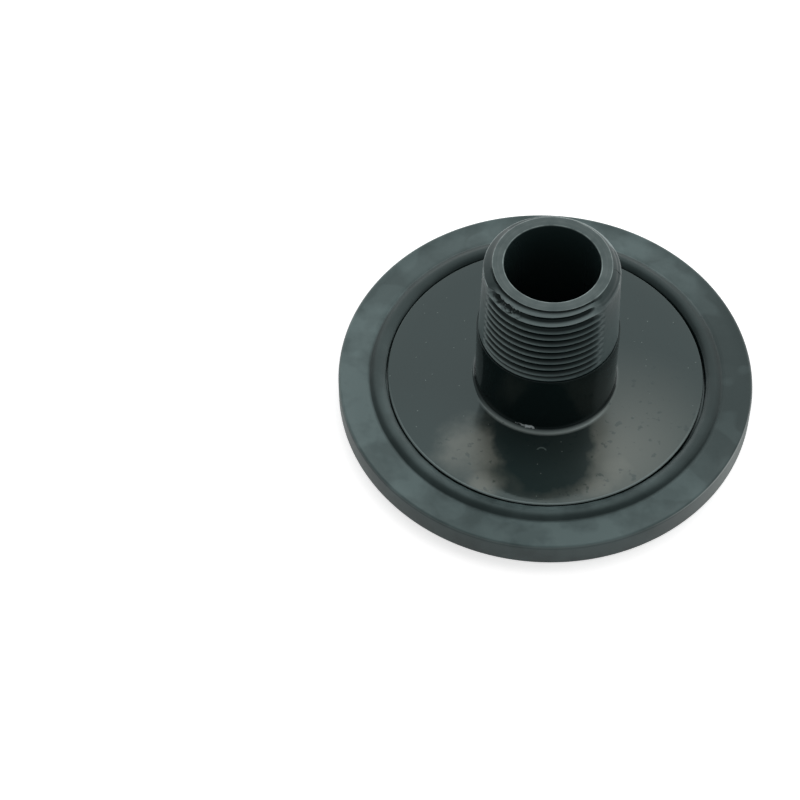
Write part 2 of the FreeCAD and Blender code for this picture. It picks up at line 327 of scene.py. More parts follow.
def painted_edge_highlights(tree, at, zones, broken):
    """Mask of painted highlights: the air way's mouth, the end face's edge, the lead-in's corner, the
    parting line.
    """
    mouth = add(tree, "Math", {0: at.radius, 1: BORE_R + 0.12, 2: 0.17}, operation="COMPARE")
    brim = add(tree, "Math", {0: at.radius, 1: END_FACE_R, 2: 0.07}, operation="COMPARE")
    top = add(tree, "Math", {0: mouth, 1: brim}, operation="MAXIMUM")
    top = add(tree, "Math", {0: top, 1: zones.end}, operation="MULTIPLY")
    corner = add(tree, "Math", {0: zones.down, 1: STRIP_LEAD, 2: 0.12}, operation="COMPARE")
    witness = add(tree, "Math", {0: at.y, 1: WITNESS_Y, 2: 0.1}, operation="COMPARE")
    edge_highlight_lines = add(tree, "Math", {0: corner, 1: witness}, operation="MAXIMUM")
    outside = add(tree, "Math", {0: at.radius, 1: THREAD_R - 0.15}, operation="GREATER_THAN")
    edge_highlight_lines = add(tree, "Math", {0: edge_highlight_lines, 1: outside}, operation="MULTIPLY")
    edge_highlight_lines = add(tree, "Math", {0: edge_highlight_lines, 1: top}, operation="MAXIMUM")
    patchy = add(tree, "MapRange", {"Value": broken, "From Min": 0.35, "From Max": 0.6, "To Min": 0.25})
    for mask in (zones.satin, patchy):
        edge_highlight_lines = add(tree, "Math", {0: edge_highlight_lines, 1: mask}, operation="MULTIPLY")
    return edge_highlight_lines


# %% [markdown]
# Handling leaves a cloudy film of skin grease on the polished plate, in front of the spigot. Paint
# would hide the plate's gloss. So the film is a rough clear coat with a little tint, which scatters
# the softbox's light over a wide angle. Both are thinned in the shape of the spigot's mirror image,
# which paints the spigot's dark reflection into the film. The film's mask is a few soft spots on a
# wide thin one, warped by noise and pricked by flecks.

# %% Handling film and its painted reflection
# Thicker spots beside the spigot's mirror image: middle and reach
SMEARS = [((14.0, -21.0), 10.0), ((12.0, -25.5), 6.0), ((-12.3, -19.5), 9.5), ((-10.5, -27.0), 5.5)]
THIN_SMEAR_MIDDLE = (13.0, -18.0, 0.0)
# The mirror image is an ellipse in y and in x plus a share of y: its middle, that share, its halves
IMAGE_X, IMAGE_Y, IMAGE_LEAN = -1.568, -14.0, 0.13
IMAGE_HALF, IMAGE_HALF_LENGTH = 9.8, 15.4


def handling_film_and_painted_reflection(tree, at, plate):
    """Two masks: smear, the film everywhere, and clear, a painted reflection: 0.1 in the leaning ellipse
    of the spigot's mirror image and 1 outside it."""
    warp = add(tree, "TexNoise", {"Vector": at.place, "Scale": 1 / 5.0, "Detail": 4.0})
    ahead = add(tree, "VectorMath", {0: at.plan, 1: THIN_SMEAR_MIDDLE}, operation="DISTANCE")
    smear = add(tree, "MapRange", {"Value": ahead, "From Min": 28.0, "From Max": 2.0, "To Max": 0.9})
    smear = add(tree, "Math", {0: smear, 1: 1.5}, operation="POWER")
    for (x, y), reach in SMEARS:
        away = add(tree, "VectorMath", {0: at.plan, 1: (x, y, 0)}, operation="DISTANCE")
        away = add(tree, "Math", {0: warp, 1: -reach, 2: away}, operation="MULTIPLY_ADD")
        spot = add(tree, "MapRange", {"Value": away, "From Min": 0.6 * reach, "From Max": -0.5 * reach},
                   interpolation_type="SMOOTHSTEP")
        smear = add(tree, "Math", {0: smear, 1: spot}, operation="MAXIMUM")
    flecks = add(tree, "TexNoise", {"Vector": at.place, "Scale": 1 / 1.5, "Detail": 3.0})
    flecks = add(tree, "MapRange", {
        "Value": flecks, "From Min": 0.63, "From Max": 0.69, "To Min": 1.0, "To Max": 0.5})
    for mask in (flecks, plate):
        smear = add(tree, "Math", {0: smear, 1: mask}, operation="MULTIPLY")
    # Painted reflection: the spigot's mirror image, where the film is thinned so that it stays dark
    lean = add(tree, "Math", {0: at.y, 1: IMAGE_LEAN, 2: at.x}, operation="MULTIPLY_ADD")
    leaning = add(tree, "CombineXYZ", {"X": lean, "Y": at.y})
    ellipse = add(tree, "Mapping", {
        "Vector": leaning, "Scale": (1 / IMAGE_HALF, 1 / IMAGE_HALF_LENGTH, 0),
        "Location": (-IMAGE_X / IMAGE_HALF, -IMAGE_Y / IMAGE_HALF_LENGTH, 0)})
    # Distance from the middle in units of the halves, with the ellipse's edge warped by noise
    inside = add(tree, "VectorMath", {0: ellipse}, operation="LENGTH")
    inside = add(tree, "Math", {0: warp, 1: 0.5, 2: inside}, operation="MULTIPLY_ADD")
    clear = add(tree, "MapRange", {"Value": inside, "From Min": 1.16, "From Max": 1.34, "To Min": 0.1})
    return smear, clear


# %% [markdown]
# Small marks tell how the base was made and kept. A fine ring is the gate, where the plastic entered
# the mould; only its far half is painted pale, as a painted highlight. A pale band in the collar's
# root, a glint above it and a pale line on the plate's front edge are painted highlights. Dust is
# where the surface cuts the small spheres of a cell pattern.

# %% Marks on the plate and the collar
GATE_MIDDLE, GATE_R = (0.3, -18.9, 0.0), 0.9
# Painted glint on the collar: its middle, and its reach in x, y and z
GLINT_PLACE, GLINT_REACH = (-2.9, -13.6, RIM + 0.85), (2.2, 4.0, 0.42)


def plate_marks(tree, at, plate):
    """Masks of the gate mark, painted pale on its far half only as a highlight, the veil that greys the
    plate's front, the dust, and painted highlights in the collar's root, on the collar above it as a
    glint, and on the plate's front edge."""
    gate = add(tree, "VectorMath", {0: at.plan, 1: GATE_MIDDLE}, operation="DISTANCE")
    gate = add(tree, "Math", {0: gate, 1: GATE_R, 2: 0.16}, operation="COMPARE")
    # Painted highlight: only the ring's far half is pale
    painted_highlight_half = add(tree, "Math", {0: at.y, 1: GATE_MIDDLE[1] + 0.35}, operation="GREATER_THAN")
    gate = add(tree, "Math", {0: gate, 1: painted_highlight_half}, operation="MULTIPLY")
    veil = add(tree, "MapRange", {"Value": at.y, "From Min": -4.0, "From Max": -24.0})
    dust = add(tree, "TexVoronoi", {"Vector": at.place, "Scale": 1 / 2.2})
    dust = add(tree, "MapRange", {"Value": dust, "From Min": 0.075, "From Max": 0.035})
    dust = add(tree, "Math", {0: dust, 1: plate}, operation="MULTIPLY")
    # Painted highlight in the collar's root fillet, at the front
    root_highlight = add(tree, "MapRange", {"Value": at.z, "From Min": RIM + 0.62, "From Max": RIM + 0.02})
    root_highlight = add(tree, "Math", {0: root_highlight, 1: 2.0}, operation="POWER")
    near = add(tree, "MapRange", {
        "Value": at.radius, "From Min": COLLAR_R + 1.3, "From Max": COLLAR_R + 0.75})
    front = add(tree, "MapRange", {"Value": at.y, "From Min": -7.0, "From Max": -12.5})
    for limit in (near, front):
        root_highlight = add(tree, "Math", {0: root_highlight, 1: limit}, operation="MULTIPLY")
    # Painted glint on the collar above the root, broken up by noise
    collar_glint = add(tree, "Mapping", {
        "Vector": at.place, "Scale": [1 / reach for reach in GLINT_REACH],
        "Location": [-middle / reach for middle, reach in zip(GLINT_PLACE, GLINT_REACH)]})
    collar_glint = add(tree, "VectorMath", {0: collar_glint}, operation="LENGTH")
    glint_streaks = add(tree, "TexNoise", {"Vector": at.place, "Scale": 1 / 0.7, "Detail": 2.0})
    collar_glint = add(tree, "Math", {0: glint_streaks, 1: 2.4, 2: collar_glint}, operation="MULTIPLY_ADD")
    collar_glint = add(tree, "MapRange", {"Value": collar_glint, "From Min": 2.1, "From Max": 1.5})
    # Painted highlight on the plate's rounded front edge
    edge = add(tree, "Math", {0: at.radius, 1: PLATE_R - 0.2, 2: 0.26}, operation="COMPARE")
    for mask in (veil, plate):
        edge = add(tree, "Math", {0: edge, 1: mask}, operation="MULTIPLY")
    return SimpleNamespace(gate=gate, veil=veil, dust=dust, root_highlight=root_highlight, collar_glint=collar_glint, edge=edge)


# %% [markdown]
# The satin skin is palest on the first threads. Lower down it darkens, less at the left, where the
# crests are painted lighter as painted light from the left. The smooth strips are dark too, the more
# so near the end. The end face was cut square, and the cutter left faint rings on it.

# %% Satin colour
def satin_colour(tree, at, zones, broken):
    """Colour of the satin skin: the end face's rings, and below them crests, strips and lead-in."""
    # Painted light: the crests are lighter towards the left, where the light falls on them
    lit_from_left = add(tree, "MapRange", {"Value": at.x, "From Min": 1.0, "From Max": -9.0})
    lower = add(tree, "Mix", {
        "Factor": lit_from_left, "A": linear("#3d4949"), "B": linear("#5f6b6a")}, data_type="RGBA")
    after = add(tree, "MapRange", {"Value": zones.down, "From Min": 3.4, "From Max": 4.5})
    crests = add(tree, "Mix", {"Factor": after, "A": linear("#6e7b7b"), "B": lower}, data_type="RGBA")
    depth = add(tree, "MapRange", {"Value": zones.down, "From Min": 3.0, "From Max": 15.0})
    strips = add(tree, "Mix", {
        "Factor": depth, "A": linear("#333d3d"), "B": linear("#445050")}, data_type="RGBA")
    wall = add(tree, "Mix", {"Factor": zones.threads, "A": strips, "B": crests}, data_type="RGBA")
    wall = add(tree, "Mix", {"Factor": zones.bevel, "A": wall, "B": linear("#343e3e")}, data_type="RGBA")
    rings = add(tree, "TexNoise", {"Vector": at.radius, "Scale": 1 / 0.5, "Detail": 1.0})
    rings = add(tree, "Math", {0: broken, 1: rings}, operation="MULTIPLY")
    rings = add(tree, "MapRange", {"Value": rings, "From Min": 0.12, "From Max": 0.38})
    face = add(tree, "Mix", {
        "Factor": rings, "A": linear("#303b3b"), "B": linear("#4a5352")}, data_type="RGBA")
    return add(tree, "Mix", {"Factor": zones.end, "A": wall, "B": face}, data_type="RGBA")


# %% [markdown]
# Now the skins come together. Colours lie over each other from the bare gloss up to the dust. The
# collar came off a finer polished insert, whose skin is richer in resin and shines a little less.

# %% Moulded black ABS
def moulded_abs():
    """Black plastic: polished low down, satin grey on the thread's crests and end face, smeared plate.
    A colour is a chain of mixes, colour = colour (1 - mask) + new mask, from the gloss to the dust."""
    material, tree = new_material("moulded_black_abs")
    at = positions(tree)
    plate = add(tree, "MapRange", {"Value": at.z, "From Min": RIM + 0.4, "From Max": RIM + 0.1})
    open_top = add(tree, "Math", {0: at.z, 1: RIM - 0.12}, operation="GREATER_THAN")
    plate = add(tree, "Math", {0: plate, 1: open_top}, operation="MULTIPLY")
    broken = add(tree, "TexNoise", {"Vector": at.place, "Scale": 1 / 2.5, "Detail": 3.0})
    zones = spigot_zones(tree, at)
    edge_highlight_lines = painted_edge_highlights(tree, at, zones, broken)
    smear, clear = handling_film_and_painted_reflection(tree, at, plate)
    # The film's tint, thinned in the spigot's mirror image as a painted reflection
    film = add(tree, "Math", {0: smear, 1: clear}, operation="MULTIPLY")
    marks = plate_marks(tree, at, plate)
    # Glossy colours: the collar and the grooves, the air way painted lighter as painted light in the
    # deep bore, the plate under its veil
    airway_painted_light = add(tree, "Math", {0: at.radius, 1: BORE_R + 0.05}, operation="LESS_THAN")
    colour = add(tree, "Mix", {
        "Factor": airway_painted_light, "A": linear("#0a1414"), "B": linear("#243131")}, data_type="RGBA")
    veiled = add(tree, "Mix", {
        "Factor": marks.veil, "A": linear("#162020"), "B": linear("#212e2e")}, data_type="RGBA")
    colour = add(tree, "Mix", {"Factor": plate, "A": colour, "B": veiled}, data_type="RGBA")
    satin = satin_colour(tree, at, zones, broken)
    colour = add(tree, "Mix", {"Factor": zones.satin, "A": colour, "B": satin}, data_type="RGBA")
    # Dust and film are marks on the plastic; the edge lines, the plate's edge, the root band, the gate's
    # far half and the glint are painted highlights
    for mask, code in ((edge_highlight_lines, "#7d8a89"), (film, "#62655d"), (marks.edge, "#5c6766"),
                       (marks.root_highlight, "#87918f"), (marks.gate, "#4c5856"), (marks.collar_glint, "#c4ced0"),
                       (marks.dust, "#5a6260")):
        colour = add(tree, "Mix", {"Factor": mask, "A": colour, "B": linear(code)}, data_type="RGBA")
    # Gloss: the polish is uneven, the film hazes it, and the satin skin scatters
    cloud = add(tree, "TexNoise", {
        "Vector": at.place, "Scale": 1 / 11.0, "Detail": 5.0, "Roughness": 0.6})
    rough = add(tree, "MapRange", {
        "Value": cloud, "From Min": 0.4, "From Max": 0.7, "To Min": 0.04, "To Max": 0.1})
    rough = add(tree, "Mix", {"Factor": smear, "A": rough, "B": 0.25}, data_type="FLOAT")
    rough = add(tree, "Mix", {"Factor": zones.satin, "A": rough, "B": 0.46}, data_type="FLOAT")
    # The coat is thinner in the mirror image too, as part of the painted reflection
    coat = add(tree, "Math", {0: clear, 1: 0.4, 2: 0.2}, operation="MULTIPLY_ADD")
    coat = add(tree, "Math", {0: smear, 1: coat}, operation="MULTIPLY")
    shine = add(tree, "MapRange", {
        "Value": at.z, "From Min": RIM + 0.6, "From Max": RIM + 1.2, "To Min": 0.5, "To Max": 0.27})
    shine = add(tree, "Mix", {"Factor": zones.satin, "A": shine, "B": 0.5}, data_type="FLOAT")
    shine = add(tree, "Mix", {"Factor": zones.bevel, "A": shine, "B": 0.18}, data_type="FLOAT")
    # The eroded grain is finer than 0.1 mm, and is drawn coarser here so that it shows
    fine = add(tree, "TexNoise", {"Vector": at.place, "Scale": 1 / 0.35, "Detail": 2.0})
    bump = add(tree, "Bump", {"Height": fine, "Strength": 0.08, "Distance": 0.03 * MM})
    skin = add(tree, "BsdfPrincipled", {
        "Base Color": colour, "Roughness": rough, "Normal": bump, "IOR": 1.5,
        "Specular IOR Level": shine, "Specular Tint": COOL_GLOSS,
        "Coat Weight": coat, "Coat Roughness": 0.3, "Coat IOR": 1.5})
    add(tree, "OutputMaterial", {"Surface": skin})
    return material


ABS = moulded_abs()
print("material", ABS.name, len(ABS.node_tree.nodes), "nodes")

# %% [markdown]
# ## Rubber
#
# The cap is EPDM rubber, press moulded and black when new. Wax and oils bloom to its surface as a
# cloudy grey-green film. The film is thin on the outer half of the bead. On its inner half it is
# thicker at the front, as painted light where the spigot keeps the lamps off. At the right of the rim
# and towards the far side it is thinner, as painted shade. So the film is a mask again, a product of
# noise and of spots where it is thinner.

# %% Bloom on the rubber
# Spots where the film is thinner, the one at the right painted shade: middle, where the thinning
# starts to fade and ends, and the share of film in the middle
THIN_FILM_SPOTS = [((41.0, 1.0), (12.0, 42.0), 0.12, "SMOOTHSTEP"),
              ((-26.0, 29.0), (4.0, 26.0), 0.65, "LINEAR"),
              ((-16.0, -37.0), (3.0, 18.0), 0.7, "LINEAR")]


def bloom(tree, at):
    """Film from 0 to 1: clouds times each thin spot's fade, times a painted shade towards the far side,
    times the bead's share, and finger marks added on top, which are paler patches with clearer edges."""
    cloud = add(tree, "TexNoise", {"Vector": at.place, "Scale": 1 / 7.0, "Detail": 3.0, "Roughness": 0.5})
    film = add(tree, "MapRange", {"Value": cloud, "From Min": 0.4, "From Max": 0.6, "To Min": 0.55})
    for (x, y), (start, stop), least, fade in THIN_FILM_SPOTS:
        away = add(tree, "VectorMath", {0: at.plan, 1: (x, y, 0)}, operation="DISTANCE")
        kept = add(tree, "MapRange", {"Value": away, "From Min": start, "From Max": stop, "To Min": least},
                   interpolation_type=fade)
        film = add(tree, "Math", {0: film, 1: kept}, operation="MULTIPLY")
    # Painted shade: the film is a little thinner towards the far side
    far_painted_shade = add(tree, "MapRange", {
        "Value": at.y, "From Min": 5.0, "From Max": 25.0, "To Min": 1.0, "To Max": 0.88})
    film = add(tree, "Math", {0: film, 1: far_painted_shade}, operation="MULTIPLY")
    # The lip's film ends in the crease, and at the far side short of it, on the bead
    inset = add(tree, "MapRange", {"Value": at.y, "From Min": 0.0, "From Max": 15.0, "To Max": 0.6})
    reach = add(tree, "Math", {0: at.radius, 1: inset}, operation="ADD")
    lip = add(tree, "MapRange", {
        "Value": reach, "From Min": CREASE_R - 0.3, "From Max": CREASE_R + 0.4})
    # The bead keeps its film on the half towards the spigot, most of it at the front, as painted light
    # where the spigot keeps the lamps off the near bead
    forward = add(tree, "MapRange", {
        "Value": at.y, "From Min": -30.0, "From Max": 12.0, "To Min": 0.75, "To Max": 0.12})
    inner = add(tree, "MapRange", {
        "Value": at.radius, "From Min": MOUTH_R + 1.0, "From Max": MOUTH_R + 2.5,
        "To Min": 1.0, "To Max": 0.3})
    bead = add(tree, "Math", {0: forward, 1: inner}, operation="MULTIPLY")
    bead = add(tree, "Math", {0: bead, 1: lip}, operation="MAXIMUM")
    film = add(tree, "Math", {0: film, 1: bead}, operation="MULTIPLY")
    fingers = add(tree, "TexNoise", {
        "Vector": at.place, "Scale": 1 / 8.0, "Detail": 1.0, "Distortion": 0.1})
    fingers = add(tree, "MapRange", {
        "Value": fingers, "From Min": 0.52, "From Max": 0.57, "To Max": 0.16})
    fingers = add(tree, "Math", {0: fingers, 1: bead}, operation="MULTIPLY")
    return add(tree, "Math", {0: film, 1: fingers}, operation="ADD", use_clamp=True)


# %% [markdown]
# Dust clings to the side wall. At the front right it is thickest and partly painted light, and the
# edge above it has a painted highlight.
# In the crease outside the bead the sheen is taken down as painted shade, most of it at the far side.

# %% Moulded EPDM
DUST_AND_LIGHT_SPOT = (37.0, -17.0, 0.0)
CREASE_SHADE_R = CREASE_R - 0.4


def moulded_epdm():
    """Matt black rubber under a cloudy film that thins out on the bead and at a few spots, with painted
    shade and light in the film, on the side wall and in the crease.
    """
    material, tree = new_material("moulded_epdm_rubber")
    at = positions(tree)
    side = add(tree, "MapRange", {"Value": at.radius, "From Min": CAP_R - 0.3, "From Max": CAP_R - 0.05})
    film = bloom(tree, at)
    bare = add(tree, "Math", {0: side, 1: -0.5, 2: 1.0}, operation="MULTIPLY_ADD")
    film = add(tree, "Math", {0: film, 1: bare}, operation="MULTIPLY")
    # Dust on the side wall, thickest round the spot, where it is partly painted light
    away = add(tree, "VectorMath", {0: at.plan, 1: DUST_AND_LIGHT_SPOT}, operation="DISTANCE")
    dust = add(tree, "MapRange", {
        "Value": away, "From Min": 1.0, "From Max": 24.0, "To Min": 1.0, "To Max": 0.1})
    dust = add(tree, "Math", {0: side, 1: dust}, operation="MULTIPLY")
    # Painted highlight along the top edge of the lit wall
    rim_edge_highlight = add(tree, "Math", {0: at.z, 1: RIM - 0.25, 2: 0.14}, operation="COMPARE")
    rim_edge_highlight = add(tree, "Math", {0: rim_edge_highlight, 1: dust}, operation="MULTIPLY")
    colour = linear("#101b1b")
    for mask, code in ((film, "#566565"), (dust, "#8b9190"), (rim_edge_highlight, "#bcc2c1")):
        colour = add(tree, "Mix", {"Factor": mask, "A": colour, "B": linear(code)}, data_type="RGBA")
    rough = add(tree, "MapRange", {"Value": film, "To Min": 0.36, "To Max": 0.5})
    rough = add(tree, "Mix", {"Factor": dust, "A": rough, "B": 0.85}, data_type="FLOAT")
    # Painted shade: less sheen in the crease, the more so at the far side
    crease_shade = add(tree, "MapRange", {
        "Value": at.y, "From Min": -5.0, "From Max": 20.0, "To Min": 0.36, "To Max": 0.18})
    off = add(tree, "Math", {0: at.radius, 1: CREASE_SHADE_R}, operation="SUBTRACT")
    off = add(tree, "Math", {0: off}, operation="ABSOLUTE")
    shine = add(tree, "MapRange", {
        "Value": off, "From Min": 0.1, "From Max": 0.9, "To Min": crease_shade, "To Max": 0.5})
    shine = add(tree, "Mix", {"Factor": side, "A": shine, "B": 0.2}, data_type="FLOAT")
    # The press mould's grain is drawn coarser than the real one so that it shows
    fine = add(tree, "TexNoise", {"Vector": at.place, "Scale": 1 / 0.5, "Detail": 3.0})
    bump = add(tree, "Bump", {"Height": fine, "Strength": 0.15, "Distance": 0.05 * MM})
    skin = add(tree, "BsdfPrincipled", {
        "Base Color": colour, "Roughness": rough, "Normal": bump, "IOR": 1.43,
        "Specular IOR Level": shine, "Specular Tint": COOL_GLOSS})
    add(tree, "OutputMaterial", {"Surface": skin})
    return material


EPDM = moulded_epdm()
print("material", EPDM.name, len(EPDM.node_tree.nodes), "nodes")

# %% [markdown]
# ## The base
#
# The base could be turned from one profile, but its thread climbs. So the turned part runs from the
# collar's top round the outside, the underside and the air way to the spigot's end, and the threaded
# wall between is a grid whose rows climb one pitch in a turn, which keeps the crests sharp. The mould
# opens across two smooth strips, where the thread fades out.

# %% Thread form
PITCH = 25.4 / 14
THREAD_DEPTH = 1.2
COLUMNS = 480
STRIP_HALF = math.radians(36.5)
STRIP_FADE_LEFT, STRIP_FADE_RIGHT = math.radians(12.0), math.radians(20.0)
# One pitch of the groove: how far along, and how deep as a share of the full depth
GROOVE = np.array([
    (0.0, 0.1), (0.05, 0.03), (0.11, 0.0), (0.17, 0.0), (0.23, 0.05), (0.3, 0.16), (0.37, 0.33),
    (0.54, 0.86), (0.61, 1.0), (0.72, 1.0), (0.79, 0.86), (0.94, 0.3)])
angles = np.arange(COLUMNS) * 2 * math.pi / COLUMNS


def strip_mask(a):
    """1 where the thread is full and 0 on the two smooth strips at the mould's parting plane. The
    change takes longer beside the right strip."""
    off = np.abs((a - PARTING + math.pi / 2) % math.pi - math.pi / 2)
    fade = np.where(np.cos(a) > 0, STRIP_FADE_RIGHT, STRIP_FADE_LEFT)
    return smoothstep((off - STRIP_HALF) / fade + 0.5)


def envelopes(t):
    """Radius at the depth t below the end of the crests' cone, and of two lead-ins, which are the
    lesser of the cone and a straight slope: over the strips, and longer, over the front threads."""
    cone = THREAD_R + t * THREAD_GROWTH
    over_strip = np.minimum(cone, END_FACE_R + t * (THREAD_R - END_FACE_R) / STRIP_LEAD)
    over_thread = np.minimum(cone, END_FACE_R + t * LEAD_SLOPE)
    return cone, over_strip, over_thread


print("pitch", round(PITCH, 3), "turns", round((SPIGOT_TOP - COLLAR_TOP) / PITCH, 1))

# %% [markdown]
# The first threads are worn. One starts as a ragged nick beside the left strip, the second groove is
# shallow next to it, and a fine step runs below the end face. Faint grooves cross the strips near the
# end. Each is a depth times smooth windows in the angle a and in the depth t below the end.

# %% Worn first threads
NICK_DEPTH, STEP_DEPTH = 0.42, 0.45
FAINT_SHARE, FAINT_FROM = 0.22, 2.4
RUN_OUT_FROM, RUN_IN_LENGTH = 0.3, 0.28
SHALLOW_LOSS = 0.45
SHALLOW_ANGLE, SHALLOW_SPREAD = math.radians(237), 0.18
NICK_FROM, NICK_TO = math.radians(200), math.radians(236)
STEP_FROM, STEP_TO = math.radians(181), math.radians(308)


def torn_start(a, t):
    """Depth of the ragged nick: a window in angle and level, times a sum of sine waves that is cut
    off below and above, so that it has teeth."""
    there = window(a, NICK_FROM, 0.1, NICK_TO, 0.25) * window(t, 1.3, 0.3, 2.9, 0.5)
    tooth = ripple(a + t * 0.16, (27, 46), 5) + 0.8 * ripple(a - t * 0.22, (61, 88), 6)
    return NICK_DEPTH * there * smoothstep(1.4 * tooth + 0.1)


def groove_depth(a, t, share, full):
    """Depth of the groove: the share of THREAD_DEPTH that the form gives, full between the strips and
    faint over them near the end, run out above the collar and run in below the end face. Beside the
    nick it loses a part of its depth, by a bell curve in the angle."""
    height = SPIGOT_TOP - COLLAR_TOP - t
    cut = np.maximum(full, FAINT_SHARE * (1 - smoothstep(t - FAINT_FROM)))
    run_out = smoothstep(height - RUN_OUT_FROM)
    run_in = smoothstep(t / RUN_IN_LENGTH) * (0.85 + 0.15 * smoothstep(t / 3.5))
    shallow = window(t, 1.2, 0.3, 3.0, 0.4) * np.exp(-((a - SHALLOW_ANGLE) / SHALLOW_SPREAD) ** 2)
    return THREAD_DEPTH * share * cut * run_out * run_in * (1 - SHALLOW_LOSS * shallow)


def end_step(a, t):
    """Depth of the fine step under the end face, from the left strip round to the right one."""
    return STEP_DEPTH * window(a, STEP_FROM, 0.25, STEP_TO, 0.4) * window(t, 0, 0.25, 0.5, 0.35)


# %% Threaded wall
# Turns by which the rows start below the collar's top, and those added so that they pass the end
TURNS_BELOW, SPARE_TURNS = 2.01, 4
FILLED_SHARE = 0.15


def threaded_wall():
    """Rows that climb with the helix, clipped at the collar and the end, so the first turns and the
    last lie flat there. Radius is the lead-in less the groove, the step and the nick. Where the
    lead-in has cut the crests away, the groove is shallower by a share of that cut."""
    turns = int(np.ceil((SPIGOT_TOP - COLLAR_TOP) / PITCH)) + SPARE_TURNS
    along = (np.arange(turns)[:, None] + GROOVE[None, :, 0]).reshape(-1)
    share = np.tile(GROOVE[:, 1], turns)[:, None]
    z = COLLAR_TOP + (along[:, None] + angles[None] / (2 * math.pi) - TURNS_BELOW) * PITCH
    z = np.clip(z, COLLAR_TOP, SPIGOT_TOP)
    a = angles[None] + 0 * z
    t = SPIGOT_TOP - z
    full = strip_mask(a)
    cone, over_strip, over_thread = envelopes(t)
    near = full * (np.sin(a - PARTING) < 0)
    envelope = over_strip + (over_thread - over_strip) * near
    groove = groove_depth(a, t, share, full) - FILLED_SHARE * (cone - envelope) * full
    r = envelope - np.maximum(np.maximum(groove, end_step(a, t)), 0)
    r = np.minimum(r - torn_start(a, t) * full, over_strip)
    grid = np.stack([r * np.cos(a), r * np.sin(a), z], -1)
    return grid, ring_faces(len(grid), COLUMNS, shift=-len(GROOVE))


# %% Base mesh
def make_base():
    """One closed skin: the turned profile, and the threaded wall between its two open ends."""
    row = rounded([
        (THREAD_R + (SPIGOT_TOP - COLLAR_TOP) * THREAD_GROWTH, COLLAR_TOP, 0.0),
        (COLLAR_R, COLLAR_TOP, 0.08),
        (COLLAR_R, RIM, 0.9),
        (PLATE_R, RIM, 0.25),
        (PLATE_R, FLANGE_TOP, 0.0),
        (FLANGE_R, FLANGE_TOP, 0.3),
        (FLANGE_R, SEAT, 0.3),
        (BORE_R, SEAT, 0.0),
        (BORE_R, SPIGOT_TOP, 0.3),
        (END_FACE_R, SPIGOT_TOP, 0.0),
    ])
    row = densify(row, step=4.0)
    body = turned(row, angles)
    grids = [(body, ring_faces(len(row), COLUMNS)), threaded_wall()]
    return make_piece("base_moulding", grids, ABS, smooth_angle=40.0)


base = make_base()
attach(base, "root")
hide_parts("base")

# %% [markdown]
# ## The cap
#
# The cap is a turned rubber channel, but its face has ten round holes. Between two circles the face
# is cut into ten equal sectors, and in each a grid runs from the sector's edge to the hole's edge.
# Soft rubber never sits dead true: the bead and the crease beside it wander a little, and at the right
# the lip stands off the plate.

# %% Cap channel
SECTOR_SIDE = 24
HOLE_BAND = 5.0
INNER_R, OUTER_R = HOLE_CIRCLE_R - HOLE_BAND, HOLE_CIRCLE_R + HOLE_BAND
# How far the lip wanders in slow and in quick ripples, gapes at the right and sags, the rim's fall
# and the crease's filling, all in millimetres
WANDER, TREMOR, GAPE, SAG, RIM_FALL, CREASE_FILL = 0.12, 0.06, 0.22, 0.06, 0.1, 0.14
cap_columns = SECTOR_SIDE * HOLES
cap_angles = (np.arange(cap_columns) - SECTOR_SIDE / 2) * 2 * math.pi / cap_columns


def bead_corners():
    """Points of the bead from the crease to the mouth, on an arc through both its feet and its crown:
    its radius is (half^2 + rise^2) / (2 rise)."""
    half, rise = (CREASE_R - MOUTH_R) / 2, BEAD_TOP - CREASE
    arc = (half ** 2 + rise ** 2) / (2 * rise)
    lean = math.asin(half / arc) * np.linspace(0.8, -0.97, 17)
    return [(MOUTH_R + half + arc * math.sin(v), BEAD_TOP - arc + arc * math.cos(v), 0.0) for v in lean]


def settled(grid):
    """The channel's grid as the rubber sits. The lip moves by ripples, and at the right outwards by a
    squared cosine. The rim falls a little towards its edge, and at the far side a bell curve fills
    the crease."""
    r, z = np.hypot(grid[..., 0], grid[..., 1]), grid[..., 2]
    lip = smoothstep((z - LIP_UNDERSIDE - 0.3) / 0.6) * (1 - smoothstep((r - CREASE_R - 0.4) / 1.2))
    slow = ripple(cap_angles, (2, 3, 5, 7), 3)
    quick = ripple(cap_angles, (17, 23, 29, 41, 53), 8)
    gaping = GAPE * np.clip(np.cos(cap_angles), 0, 1) ** 2
    moved = r + lip * (WANDER * (slow - 1) + TREMOR * quick + gaping)
    sunk = z - lip * SAG * (1 + ripple(cap_angles, (3, 4, 6, 11), 21))
    sunk = sunk - RIM_FALL * smoothstep((r - CREASE_R - 1.0) / 5.0) * (z > RIM - 0.01)
    filled = np.exp(-((r - CREASE_R) / 0.45) ** 2) * smoothstep(1.6 * np.sin(cap_angles) - 0.2)
    sunk = sunk + CREASE_FILL * filled * (z > RIM - 0.3)
    return np.stack([moved * np.cos(cap_angles), moved * np.sin(cap_angles), sunk], -1)


def cap_channel():
    """Turned row from the face round the wall, the rim, the crease, the bead and the mouth, and back
    through the flange's pocket to the inside of the face."""
    row = rounded([
        (OUTER_R, 0.0, 0.0),
        (CAP_R, 0.0, 0.4),
        (CAP_R, RIM, 0.75),
        (CREASE_R + 0.7, RIM, 0.3),
        (CREASE_R + 0.02, RIM - 0.13, 0.3),
        *bead_corners(),
        (MOUTH_R, CREASE, 0.0),
        (MOUTH_R, LIP_UNDERSIDE, 0.0),
        (POCKET_R, LIP_UNDERSIDE, 0.0),
        (POCKET_R, SEAT, 0.0),
        (OUTER_R, SEAT, 0.0),
    ])
    return settled(turned(densify(row, step=2.5), cap_angles))


